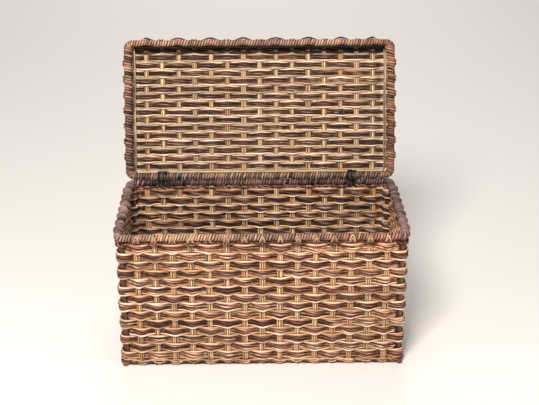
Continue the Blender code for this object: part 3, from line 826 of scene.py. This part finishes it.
def pointed_ties(rng, place, outward, nested=2):
    """Centre lines of the ties: up the rim's outer half to a point and down again.
    Along the rim it goes from one foot to the other as s goes from -1 to 1, and its
    angle round the rim pole is highest at s = 0. Smaller ones nest under it."""
    s = np.linspace(-1, 1, 15)
    routes, aways = [], []
    for step in range(nested):
        foot = TIE_FOOT - 0.0030 * step + rng.uniform(-0.0008, 0.0008, (len(place), 1))
        peak = np.radians(38 - 34 * step + rng.uniform(-9, 9, (len(place), 1)))
        angle = LOWEST + (peak - LOWEST) * (1 - np.abs(s)[None] ** 1.5)
        rim = np.where(np.abs(outward) > 0.5, outward * (RIM_X, RIM_Y), place)
        along = foot * np.sign(s) * np.abs(s) ** 0.8
        lean = rng.uniform(-0.0012, 0.0012, (len(place), 1)) * (1 - np.abs(s))
        away = np.empty((len(place), len(s), 3))
        away[..., :2] = np.cos(angle)[..., None] * outward[:, None]
        away[..., 2] = np.sin(angle)
        route = TIE_STAND * away
        route[..., 2] -= 0.0030 * np.abs(s) ** 5
        route[..., :2] += rim[:, None] + (along + lean)[..., None] * sideways(outward)[:, None]
        routes.append(route)
        aways.append(away)
    return np.concatenate(routes), np.concatenate(aways)


TIE_CANE = ["CCA682", "BE946C", "D6B28C", "AE8460"]
route, away = pointed_ties(rng, trunk_place[walls_only], trunk_out[walls_only])
route[..., 2] += RIM_Z
tone = dye(rng, TIE_CANE, route, 0, 0.15, 6)
tone = tone * np.where(route[:, :1, 1:2] > 0.1, 0.55, 1.0)
rim_ties = strands("trunk_rim_ties", route, away, 0.0011, 0.0016, tone, cane, 6, False)
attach(rim_ties, "trunk")


# Lid frame canes and stakes.
# The lid is woven like the trunk. Its cane frame is inside its top edge, and its
# stakes run across the top and bend down at both edges to the lid's own rim.
HINGE_Y, HINGE_Z = 0.1585, 0.3324
LID_LEAN = math.radians(-107.5)
LID_DEPTH = 0.1585        # from the hinge forwards to the middle of the lid
HINGES = [(-0.232, 0.026), (0.221, 0.022)]          # middle and width of each
SKIRT_X, SKIRT_Y = 0.3185, 0.1600
PANEL_MID = 0.0370
ABOVE_LASHING = 0.0152    # height in the lid from which a stake by a hinge starts
lid_turn = np.array([[1, 0, 0], [0, math.cos(LID_LEAN), -math.sin(LID_LEAN)],
                     [0, math.sin(LID_LEAN), math.cos(LID_LEAN)]])


def on_lid(points):
    """From the lid's own frame, shut, with its middle at x = y = 0 and its rim at
    z = 0, to its open place: back by its depth, turned about the hinge, and up."""
    shifted = points - np.array([0, LID_DEPTH, 0])
    return shifted @ lid_turn.T + np.array([0, HINGE_Y, HINGE_Z])


def lid_strands(name, route, facing, *rest):
    """Strands given in the lid's own frame, in their open place."""
    return strands(name, on_lid(route), np.asarray(facing) @ lid_turn.T, *rest)


rng = np.random.default_rng(71)
EDGE = np.array([0.3087, 0.1502, 0.0287])
STRUT_X, STRUT_Y = 0.3105, 0.1520
starts = EDGE * [(-1, -1, 1), (-1, 1, 1), (-1, -1, 1), (1, -1, 1)]
ends = EDGE * [(1, -1, 1), (1, 1, 1), (-1, 1, 1), (1, 1, 1)]
LID_POLE = ["CBAA80", "BE9C72", "D6B890"]
edge_canes = poles("lid_edge_canes", on_lid(starts), on_lid(ends), 0.0030, rng, LID_POLE,
                   [0.16, 1.0, 1.0, 1.0])      # the front one is painted dark, as shade cast by the lid's front skirt
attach(edge_canes, "lid")
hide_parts(*[f"lid_edge_cane_{side}" for side in SIDES])
corners = [(sx * STRUT_X, sy * STRUT_Y) for sy in (-1, 1) for sx in (-1, 1)]
starts, ends = np.insert(corners, 2, 0.0075, 1), np.insert(corners, 2, 0.0330, 1)
struts = poles("lid_corner_struts", on_lid(starts), on_lid(ends), 0.0050, rng, LID_POLE)
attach(struts, "lid")
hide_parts(*[f"lid_corner_strut_{depth}_{width}"
                      for depth in SIDES[:2] for width in SIDES[2:]])

lid_place, lid_out, lid_post = uprights(SKIRT_X, SKIRT_Y, STRUT_X, STRUT_Y)
LID_ROD = 0.0019
rods = spaced(3, 2 * LID_ROD)
long_x = spaced(LONG_STAKES, LONG_PITCH)[:, None] + rods
over_edge = np.array([(0.1600, 0.0080), (0.1600, 0.0180), (0.1598, 0.0270), (0.1572, 0.0338),
                      (0.1500, 0.0366), (0.1300, PANEL_MID), (0.0900, PANEL_MID),
                      (0.0450, PANEL_MID), (0.0, PANEL_MID)])
profile = np.concatenate([over_edge * (-1, 1), over_edge[-2::-1]])
route = np.empty((long_x.size, len(profile), 3))
route[..., 0] = long_x.reshape(-1, 1) + 0.0009 * wander(rng, long_x.size, len(profile), 6)
route[..., 1] = profile[:, 0]
route[..., 2] = profile[:, 1] + 0.0003 * rng.uniform(-1, 1, (long_x.size, 1))
for middle, width in HINGES:        # cut short above a hinge lashing
    near = (np.abs(route[..., 0] - middle) < width / 2 + 0.004) & (route[..., 1] > BACK_FROM)
    route[..., 2] = np.where(near, np.maximum(route[..., 2], ABOVE_LASHING), route[..., 2])
route = bend_through(route, 4, looped=False)
tone = dye(rng, STAKE_TONES + ["D8BC9A", "C8AC8A"], route, 0, 0.16, 30)
# Painted shade on the outer canes, painted highlight on the middle one.
tone = tone * STAKE_PAINTED_SHADING[np.arange(len(route)) % 3, None, None]


def bend_facing(route, sideways):
    """At right angles to the strand and to `sideways`: the outside of its bends."""
    return np.cross(np.gradient(route, axis=1), sideways)


lid_stakes = lid_strands("lid_stakes", route, bend_facing(route, (1.0, 0, 0)), LID_ROD, LID_ROD,
                         tone, cane, 8, False)
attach(lid_stakes, "lid")

short_y = spaced(SHORT_STAKES, SHORT_PITCH)[:, None] + rods
over_side = np.array([(SKIRT_X, 0.0080), (SKIRT_X, 0.0180), (SKIRT_X - 0.0004, 0.0262),
                      (SKIRT_X - 0.0036, 0.0318), (SKIRT_X - 0.0098, 0.0336),
                      (SKIRT_X - 0.0150, 0.0320)])
route = np.empty((2, short_y.size, len(over_side), 3))
route[..., 0] = over_side[:, 0] * np.array([-1, 1])[:, None, None]
route[..., 1] = short_y.reshape(-1, 1)
route[..., 2] = over_side[:, 1]
route = bend_through(route.reshape(-1, len(over_side), 3), 4, looped=False)
tone = dye(rng, STAKE_TONES, route, 0, 0.16, 9)
side_rods = lid_strands("lid_side_stakes", route, bend_facing(route, (0, 1.0, 0)), LID_ROD,
                        LID_ROD, tone, cane, 8, False)
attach(side_rods, "lid")

# Two thin canes lie along each side of the lid, inside, over the ends of the rows.
inner_y = np.linspace(-0.1440, 0.1500, 40)
route = np.empty((4, len(inner_y), 3))
route[..., 0] = np.array([-0.3032, -0.2994, 0.2994, 0.3032])[:, None]
route[..., 0] += 0.0008 * wander(rng, 4, len(inner_y), 9)
route[..., 1] = inner_y
route[..., 2] = 0.0206 + 0.0006 * wander(rng, 4, len(inner_y), 12)
tone = dye(rng, ["C8B48E", "B4A07C", "D2BC98", "9C8464"], route, 3, 0.2, 14)
inner_canes = lid_strands("lid_inner_canes", route, (0, 0, -1.0), 0.0017, 0.0018, tone, cane,
                          6, False)
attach(inner_canes, "lid")


# Lid panel weavers.
# Fifteen rows of the same bundle run from side to side. At each end a strand turns
# down round the side edge cane and is tucked back under the row.
PANEL_ROWS, PANEL_PITCH = 15, 0.01872
PANEL_BACK_ROW = 0.1376   # the last row's place, by the hinges
PANEL_OVER = 0.0044
rng = np.random.default_rng(81)
stake_x = spaced(LONG_STAKES, LONG_PITCH)
gap_x = np.concatenate([[-0.2900], (stake_x[1:] + stake_x[:-1]) / 2, [0.2900]])
across_x = np.empty(2 * LONG_STAKES + 1)
across_x[0::2], across_x[1::2] = gap_x, stake_x
number = np.zeros(len(across_x), int)
number[1::2] = np.arange(1, LONG_STAKES + 1)
hook = np.array([(0.3010, 0.0362), (0.3087, 0.0348), (0.3131, 0.0305), (0.3122, 0.0250),
                 (0.3068, 0.0232), (0.2995, 0.0262)])
hooked_x = np.concatenate([-hook[::-1, 0], across_x, hook[:, 0]])
hooked_z = np.concatenate([hook[::-1, 1], np.full_like(across_x, PANEL_MID), hook[:, 1]])
panel_pinned = np.pad(number > 0, len(hook), constant_values=True)
panel_edges = row_edges(rng, PANEL_ROWS, len(hooked_x),
                        -(PANEL_BACK_ROW - (PANEL_ROWS - 0.5) * PANEL_PITCH), PANEL_PITCH, 0.0016)
spread = np.pad(np.where(number > 0, SWELL, PINCH), len(hook), constant_values=0.9)


def panel_routes(rng, lane, fold):
    """Centre lines of the panel's strands, from one tucked end to the other. A
    strand goes on top of a stake where row + stake is even, and under it otherwise;
    `lane` is its place across the row and `fold` its height over the others."""
    rows, count, stations = lane.shape
    row = np.arange(1, rows + 1)
    top = np.where((number[None] + row[:, None]) % 2 == 0, PANEL_OVER, -PANEL_OVER)
    top = np.pad(np.where(number[None] > 0, top, 0), ((0, 0), (len(hook), len(hook))))
    middle = -(panel_edges[:-1] + panel_edges[1:]) / 2
    half = (panel_edges[:-1] - panel_edges[1:]) / 2
    route = np.empty((rows, count, stations, 3))
    route[..., 0] = hooked_x
    route[..., 1] = middle[:, None] - lane * (half * spread)[:, None]
    route[..., 1] += LOOSE * rng.uniform(-1, 1, route.shape[:3])
    route[..., 2] = (hooked_z + top)[:, None] + fold
    route[..., 2] += 0.5 * LOOSE * rng.uniform(-1, 1, route.shape[:3])
    return route.reshape(rows * count, stations, 3)


PANEL_CANE = ["F0DAC4", "E2CAAF", "D0C0A4", "F6E4D0", "C8AD90", "E8D2B7", "C0B198", "B49F81"]
LID_CORD = ["785448", "896455", "60453C", "A5836F", "6C5450", "8B6256", "B89981", "503933",
            "7F6255", "9D7A67"]
stations = len(hooked_x)
route = panel_routes(rng, *lanes_of((PANEL_ROWS, 2, stations), [0.76, -0.76]))
route = bend_through(route, STEPS, looped=False)
tone = dye(rng, PANEL_CANE, route, 2, 0.2, 50)
# Painted shade where the canes dive between the stakes.
tone = tone * painted_crevice_shade(panel_pinned, route, 0.85)
panel_canes = lid_strands("lid_panel_canes", route, bend_facing(route, (0, 1.0, 0)), 0.0018,
                          0.0026, tone, cane, 6, False)
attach(panel_canes, "lid")
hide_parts("lid_panel")

route = panel_routes(rng, *shuffled(rng, (PANEL_ROWS, 3, stations), [0.36, 0.0, -0.36]))
route = bend_through(route, STEPS, looped=False)
tone = dye(rng, LID_CORD, route, 4, 0.34, 90)
# Painted shade where the cords dive between the stakes.
tone = tone * painted_crevice_shade(panel_pinned, route, 0.45)
plump = 1 + 0.12 * wander(rng, *route.shape[:2], 60)
panel_cords = lid_strands("lid_panel_cords", route, bend_facing(route, (0, 1.0, 0)),
                          0.0028 * plump, 0.0025 * plump, tone, fibre_cord, 6, False, CORD_LAY)
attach(panel_cords, "lid")

# Along the front edge, between the first row and the skirt, are four cords, painted dark as the
# shade that the skirt casts.
edge_y = np.array([-0.1365, -0.1412, -0.1458, -0.1500])
edge_z = np.array([0.0, -0.0002, -0.0010, -0.0026])
count = len(edge_y)
ends_x = np.array([0.2990, 0.3080, 0.3130])
route = np.empty((count, len(across_x) + 6, 3))
route[..., 0] = np.concatenate([-ends_x[::-1], across_x, ends_x])
route[..., 1] = edge_y[:, None] + 0.0006 * rng.uniform(-1, 1, route.shape[:2])
top = np.where((number[None] + np.arange(count)[:, None]) % 2 == 0, 1, -1) * 0.0042
drop = np.array([0.0008, 0.0030, 0.0075])
route[..., 2] = PANEL_MID + edge_z[:, None] - np.concatenate([drop[::-1], 0 * across_x, drop])
route[:, 3:-3, 2] += np.where(number[None] > 0, top, 0)
route = bend_through(route, STEPS, looped=False)
# Painted shade: the cords' colour is cut to under half, and made redder.
tone = (0.44, 0.38, 0.34) * dye(rng, LID_CORD, route, 4, 0.34, 90)
edge_cords = lid_strands("lid_edge_cords", route, bend_facing(route, (0, 1.0, 0)), 0.0031,
                         0.0028, tone, fibre_cord, 6, False, CORD_LAY)
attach(edge_cords, "lid")


# Lid skirts.
# One full row goes round the lid between its rim and its top edge, and three dark
# cords twine along the edge above it. At the hinges the row is pushed up clear.
SKIRT_ROW = 0.0177
WALE_HEIGHTS = [0.0292, 0.0332, 0.0370]
rng = np.random.default_rng(91)
lid_pins = weave_stations(lid_place, lid_out, lid_post)
PRESS_LOW, PRESS_HIGH = 0.0043, 0.0320


def clear_of_hinges(route):
    """Strands at the back are moved up at each hinge lashing: what lay between
    PRESS_LOW and PRESS_HIGH is pressed into the upper part of that space, fully
    inside the lashing's width and not at all 10 mm beyond it."""
    x, y, z = route[..., 0], route[..., 1], route[..., 2]
    for middle, width in HINGES:
        near = np.clip(1 - (np.abs(x - middle) - width / 2 - 0.002) / 0.008, 0, 1)
        near = near * near * (3 - 2 * near) * (y > BACK_FROM)
        lift = (PRESS_HIGH - z) * 0.38 * near
        route[..., 2] += np.where((z > PRESS_LOW) & (z < PRESS_HIGH), lift, 0)
    return route


skirt_edges = row_edges(rng, 1, ALL_PINS, SKIRT_ROW + 0.0100, 0.0200)
route = row_routes(rng, lid_pins, skirt_edges, np.array([1]),
                   *lanes_of((1, 2, ALL_PINS), CANE_LANES))
route = clear_of_hinges(bend_through(route, STEPS))
tone = dye(rng, PALE_CANE, route, 5, 0.2, 130)
# Painted shade where the canes dive between the uprights.
tone = tone * painted_crevice_shade(lid_pins.pinned, route, 0.78)
skirt_canes = lid_strands("lid_skirt_canes", route, wall_facing(route), CANE_DEEP, CANE_TALL,
                          tone, cane)
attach(skirt_canes, "lid")
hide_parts(*[f"lid_skirt_{side}" for side in SIDES])

route = row_routes(rng, lid_pins, skirt_edges, np.array([1]), *shuffled(rng, (1, 3, ALL_PINS)))
wale = lone_strands(rng, lid_pins, WALE_HEIGHTS, (0, 1, 0))
draw_in = np.array([0.0, 0.0012, 0.0042])[:, None, None]
wale[..., :2] -= lid_pins.out * draw_in
route = clear_of_hinges(bend_through(np.concatenate([route, wale]), STEPS))
tone = dye(rng, DARK_CORD, route, 9, 0.34, 240)
# Painted shade where the cords dive between the uprights.
tone = tone * painted_crevice_shade(lid_pins.pinned, route, 0.36)
skirt_cords = lid_strands("lid_skirt_cords", route, wall_facing(route), CORD_THICK, CORD_THIN,
                          tone, fibre_cord, 6, True, CORD_LAY)
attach(skirt_cords, "lid")

# Dark loops over every other stake of the front, slack enough to stand out past
# the rim.
LOOP_OUT = 0.0108
front_pin = lid_pins.out[:, 1] < -0.9
odd_pin = front_pin & (lid_pins.number % 2 == 1) & (lid_pins.pinned > 0)
start, stop = np.flatnonzero(front_pin)[[0, -1]] + (-1, 2)
route = np.empty((2, stop - start, 3))
stand = np.where(odd_pin, LOOP_OUT, np.where(lid_pins.pinned > 0, -0.0042, 0.0052))[start:stop]
stand[[0, 1, -1, -2]] = -0.0030
for layer in (0, 1):
    route[layer, :, :2] = (lid_pins.middle[start:stop] * (1, 0) + (0, -SKIRT_Y)
                           - np.stack([0 * stand, stand * (1 - 0.16 * layer)], 1))
    route[layer, :, 0] = np.clip(route[layer, :, 0], -EDGE[0], EDGE[0])
    route[layer, :, 2] = 0.0118 + 0.0040 * layer
route[..., 1] -= 0.0006 * rng.uniform(-1, 1, route.shape[:2])
route = bend_through(route, 6, looped=False)
tone = dye(rng, ["7A5040", "906450", "5E3A2E"], route, 3, 0.3, 80)
loops = lid_strands("lid_front_loops", route, (0, -1.0, 0.3), 0.0017, 0.0015, tone, fibre_cord,
                    6, False)
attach(loops, "lid")


# Lid rim binding.
# It is wound as the trunk's is, from redder cord, and its ties stand out as bumps.
LID_RIM_TONES = [(0.0, "A47A62"), (0.08, "AE846C"), (0.18, "987464"), (0.28, "A4806C"),
                 (0.33, "90644E"), (0.42, "865C48"), (0.50, "7C5648"), (0.56, "7A6054"),
                 (0.66, "94745F"), (0.78, "84665A"), (0.83, "76564A"), (0.92, "7E5C4E"),
                 (1.0, "A47A62")]
rng = np.random.default_rng(101)
odd_front = (lid_out[:, 1] < -0.5) & (np.arange(len(lid_out)) % 2 == 1)
bumps = ~lid_post & ((np.abs(lid_out[:, 0]) > 0.5) | odd_front)
bulge_at = (lid_place - lid_out * (SKIRT_X - RIM_X))[bumps]
route, away, tone = winding(rng, turns, LID_RIM_TONES, bulge_at, 0.0026)
patch = (np.abs(route[..., :1] + 0.1935) < 0.0095) & (route[..., 1:2] > BACK_FROM)
tone = np.where(patch, paint("80807C") / paint("846458") * tone, tone)
lid_binding = lid_strands("lid_rim_binding", route, away, WIND_DEEP, WIND_WIDE, tone, bound_cord,
                          8)
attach(lid_binding, "lid")
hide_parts(*[f"lid_rim_wrap_{side}" for side in SIDES])

not_back = lid_out[~lid_post][:, 1] < 0.5
route, away = pointed_ties(rng, lid_place[~lid_post][not_back], lid_out[~lid_post][not_back], 1)
route[..., 2] *= -1
away[..., 2] *= -1
tone = dye(rng, ["B08672", "986C58", "BE9880"], route, 0, 0.2, 6)
lid_ties = lid_strands("lid_rim_ties", route, away, 0.0013, 0.0019, tone, cane, 6, False)
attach(lid_ties, "lid")


# Hinge lashings.
# Two bands of worn cord, black and brownish grey, are wound loosely round both
# rear rims, and the lid's rim turns inside them. Slack turns cross over each band.
CORD_RADIUS, BAND_RADIUS = 0.0012, 0.0097
WORN_BLACK = ["3C3834", "585048", "262424", "767068"]
RIM_GAP = HINGE_Z - RIM_Z
rng = np.random.default_rng(111)
# Painted shade darkens two grooves that wind round it.
black_cord = strand_finish("worn_black_cord", 0.7, 0.8, 90.0, 0.8, 0.5, 0.4, 2, 0.2)


def round_both(way, radius):
    """A closed oval round both rims, seen from the end, by the share of the way
    round it: points (y, z) from midway between the rims, and outward directions."""
    straight, bend = RIM_GAP, math.pi * radius
    at = (way % 1) * 2 * (straight + bend)
    half = at >= straight + bend
    at = np.where(half, at - straight - bend, at)
    angle = np.clip((at - straight) / radius, 0, math.pi)
    rise = np.clip(at, 0, straight) - straight / 2
    outward = np.stack([np.cos(angle), np.sin(angle)], -1)
    point = radius * outward + np.stack([np.zeros_like(rise), rise], -1)
    sign = np.where(half, -1.0, 1.0)[..., None]
    return point * sign, outward * sign


routes, aways = [], []
for middle, width in HINGES:
    for layer, winds in ((0, int(width / 0.0029)), (1, 6)):
        s = np.linspace(0, 1, winds * 22)
        yz, outward = round_both(s * winds, BAND_RADIUS + layer * 0.0016)
        x = middle + (s - 0.5) * width * (1 - 0.25 * layer)
        if layer:
            x = middle + 0.36 * width * np.sin(2 * np.pi * 1.7 * s + middle * 40)
        route = np.empty((len(s), 3))
        route[:, 0] = x + 0.0028 * wander(rng, 1, len(s), winds * 2)[0]
        slack = 0.0008 * (1 + wander(rng, 1, len(s), winds * 3)[0])
        route[:, 1:] = yz + slack[:, None] * outward + (HINGE_Y, (HINGE_Z + RIM_Z) / 2)
        away = np.concatenate([np.zeros((len(s), 1)), outward], 1)
        tone = dye(rng, WORN_BLACK, route[None], winds * 2, 0.3, winds * 3)
        # Painted shade: the cord is darker in the gap between the two rims and towards the top and
        # bottom of the oval.
        tone = tone * np.clip(np.abs(yz[:, :1]) / 0.010, 0.12, 1) ** 1.5
        tone = tone * np.clip(np.abs(yz[:, 1:]) / 0.012, 0.12, 1)
        band = strands(f"hinge_lashing_{'left' if middle < 0 else 'right'}_{layer}", route[None],
                       away[None], CORD_RADIUS, CORD_RADIUS, tone, black_cord, 6, False)
        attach(band, "trunk")
        if not layer:
            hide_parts("hinge_lashing_left" if middle < 0 else "hinge_lashing_right")
